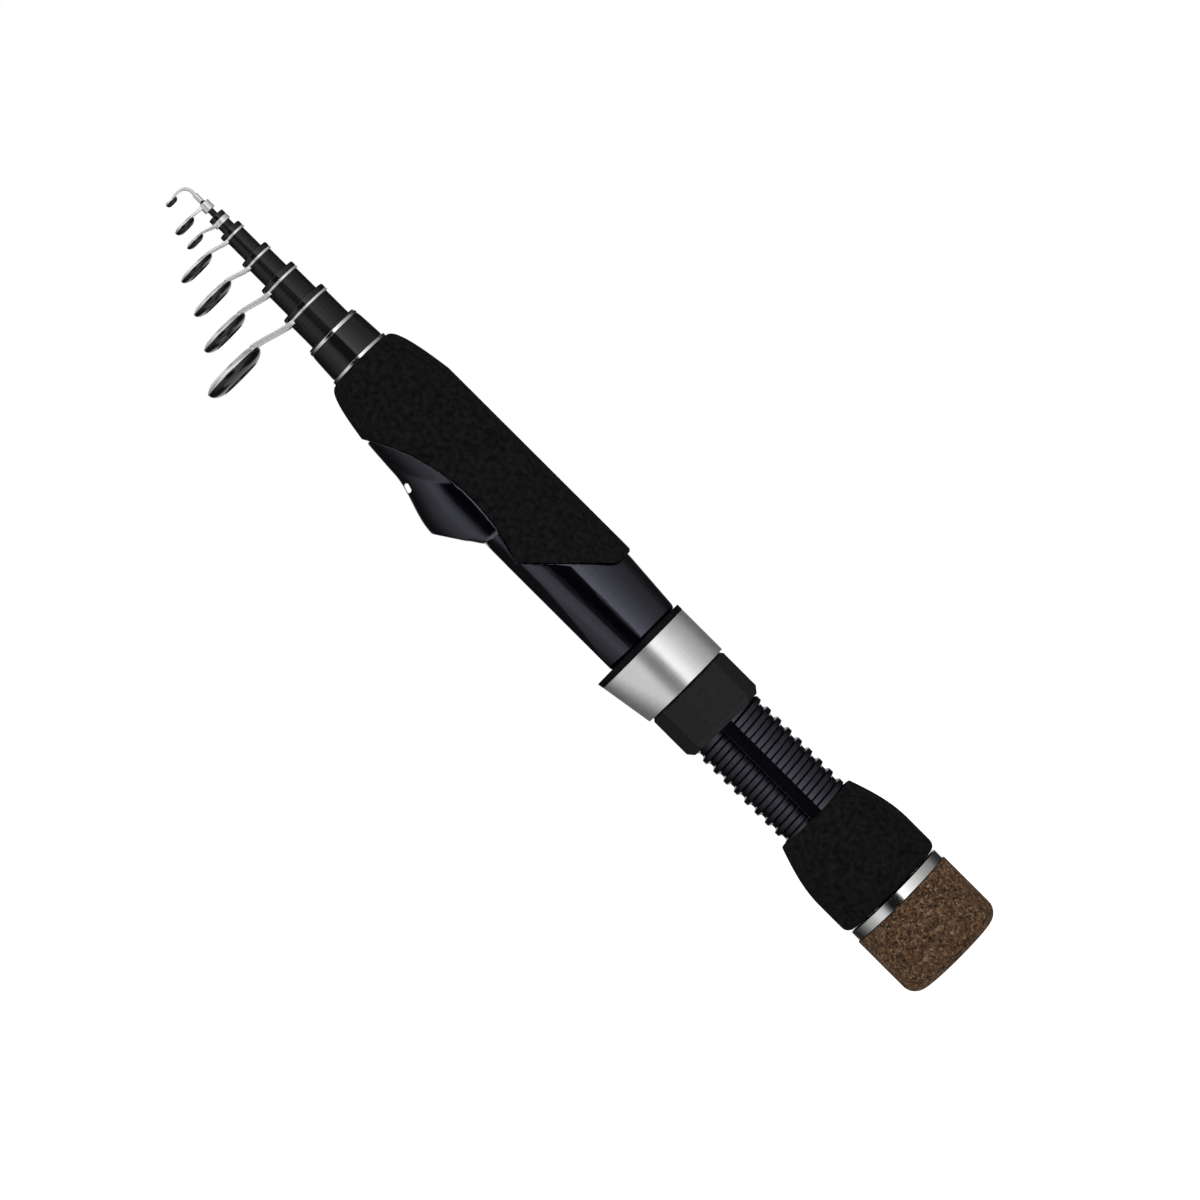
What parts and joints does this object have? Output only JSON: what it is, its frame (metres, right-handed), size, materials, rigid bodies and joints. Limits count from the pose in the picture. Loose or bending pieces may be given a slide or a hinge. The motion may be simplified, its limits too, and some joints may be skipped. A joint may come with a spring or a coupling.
{
  "type": "telescopic fishing rod",
  "caption": "Pocket-length telescopic spinning rod, closed: foam grips, screw-down reel seat, nested tapered sections with line guides, and a cork butt cap.",
  "frame": {"origin": "centre of the butt cap's flat end face", "axes": "+Z along the rod from butt to tip; the line guides and the reel's saddle face -X"},
  "size_m": [0.0476, 0.0304, 0.2665],
  "materials": {
    "cork": "matte",
    "plain_plastic": "satin",
    "foam": "matte",
    "bright_metal": "polished",
    "seat_plastic": "gloss",
    "satin_metal": "satin",
    "nut_plastic": "satin",
    "varnish": "gloss",
    "blank": "satin",
    "guide_steel": "polished",
    "ring_black": "gloss"
  },
  "bodies": {
    "handle": {"section_1": "blank", "rear_grip": "foam", "reel_seat": "seat_plastic", "rear_arbor": "plain_plastic", "front_arbor": "plain_plastic", "foregrip": "foam", "grip_check": "bright_metal", "front_wrap": "varnish", "front_ring": "bright_metal", "butt_bush": "plain_plastic"},
    "butt_ring": {"butt_ring": "bright_metal"},
    "butt_cap": {"butt_cap": "cork", "cap_plug": "plain_plastic", "cap_cushion": "foam"},
    "sliding_hood": {"hood_shell": "satin_metal", "hood_liner": "plain_plastic"},
    "lock_nut": {"lock_nut": "nut_plastic"},
    "section_2": {"section_2": "blank", "guide_1_frame": "guide_steel", "guide_1_insert": "ring_black", "guide_1_wrap": "varnish"},
    "section_3": {"section_3": "blank", "guide_2_frame": "guide_steel", "guide_2_insert": "ring_black", "guide_2_wrap": "varnish"},
    "section_4": {"section_4": "blank", "guide_3_frame": "guide_steel", "guide_3_insert": "ring_black", "guide_3_wrap": "varnish"},
    "section_5": {"section_5": "blank", "guide_4_frame": "guide_steel", "guide_4_insert": "ring_black", "guide_4_wrap": "varnish"},
    "section_6": {"section_6": "blank", "guide_5_frame": "guide_steel", "guide_5_insert": "ring_black", "guide_5_wrap": "varnish"},
    "tip_section": {"section_7": "blank", "tip_frame": "guide_steel", "tip_insert": "ring_black"},
    "floating_guide": {"float_frame": "guide_steel", "float_insert": "ring_black"}
  },
  "joints": [
    {"name": "hood_slide", "type": "slide", "parent": "handle", "child": "sliding_hood", "axis": [0, 0, -1], "range_m": [0, 0.0293]},
    {"name": "nut_turn", "type": "hinge", "parent": "sliding_hood", "child": "lock_nut", "pos_m": [0, 0, 0.0865], "axis": [0, 0, -1], "range_deg": [0, 2970]},
    {"name": "ring_slide", "type": "slide", "parent": "handle", "child": "butt_ring", "axis": [0, 0, -1], "range_m": [0, 0.01315]},
    {"name": "cap_turn", "type": "hinge", "parent": "butt_ring", "child": "butt_cap", "pos_m": [0, 0, 0.0195], "axis": [0, 0, -1], "range_deg": [0, 1890]},
    {"name": "section_2_slide", "type": "slide", "parent": "handle", "child": "section_2", "axis": [0, 0, 1], "range_m": [0, 0.15955]},
    {"name": "section_3_slide", "type": "slide", "parent": "section_2", "child": "section_3", "axis": [0, 0, 1], "range_m": [0, 0.16885]},
    {"name": "section_4_slide", "type": "slide", "parent": "section_3", "child": "section_4", "axis": [0, 0, 1], "range_m": [0, 0.17985]},
    {"name": "section_5_slide", "type": "slide", "parent": "section_4", "child": "section_5", "axis": [0, 0, 1], "range_m": [0, 0.18975]},
    {"name": "section_6_slide", "type": "slide", "parent": "section_5", "child": "section_6", "axis": [0, 0, 1], "range_m": [0, 0.20005]},
    {"name": "tip_slide", "type": "slide", "parent": "section_6", "child": "tip_section", "axis": [0, 0, 1], "range_m": [0, 0.20685]},
    {"name": "float_slide", "type": "slide", "parent": "tip_section", "child": "floating_guide", "axis": [0, 0, 1], "range_m": [-0.0932, 0]}
  ],
  "couplings": [
    {"joint": "hood_slide", "follows": "nut_turn", "m_per_rad": 0.000565},
    {"joint": "ring_slide", "follows": "cap_turn", "m_per_rad": 0.00039789},
    {"joint": "float_slide", "follows": "tip_slide", "ratio": -0.45}
  ]
}
